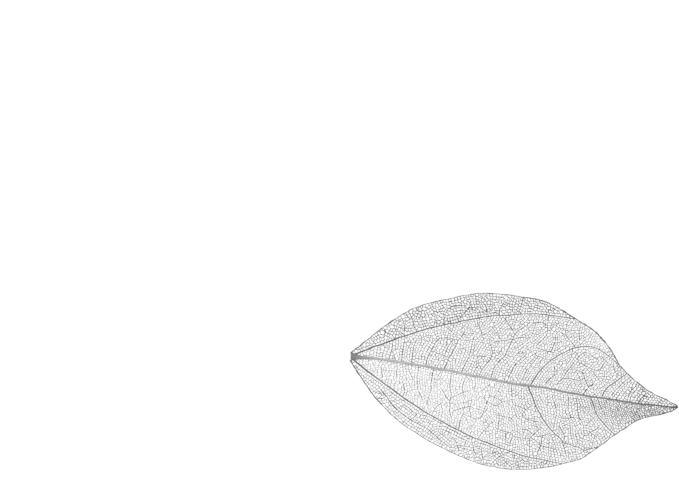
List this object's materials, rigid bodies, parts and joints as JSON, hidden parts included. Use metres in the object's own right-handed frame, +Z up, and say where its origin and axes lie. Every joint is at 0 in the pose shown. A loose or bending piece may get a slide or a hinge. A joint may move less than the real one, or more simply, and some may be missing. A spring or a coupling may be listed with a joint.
{
  "type": "skeleton leaf",
  "caption": "Dried leaf skeleton lying flat: a pointed oval lace of veins with a midrib, basal side veins, upper side veins and real gaps between them.",
  "frame": {"origin": "on the surface the leaf rests on, below the middle of its box", "axes": "+X from the cut base to the tip, +Y across the blade, +Z up through the leaf's upper face"},
  "size_m": [0.0908, 0.0478, 0.0064],
  "materials": {
    "vein_fibre": "dry, dull, finely fibrous vein tissue"
  },
  "bodies": {
    "root": {"skeleton_leaf": "vein_fibre"}
  },
  "joints": []
}
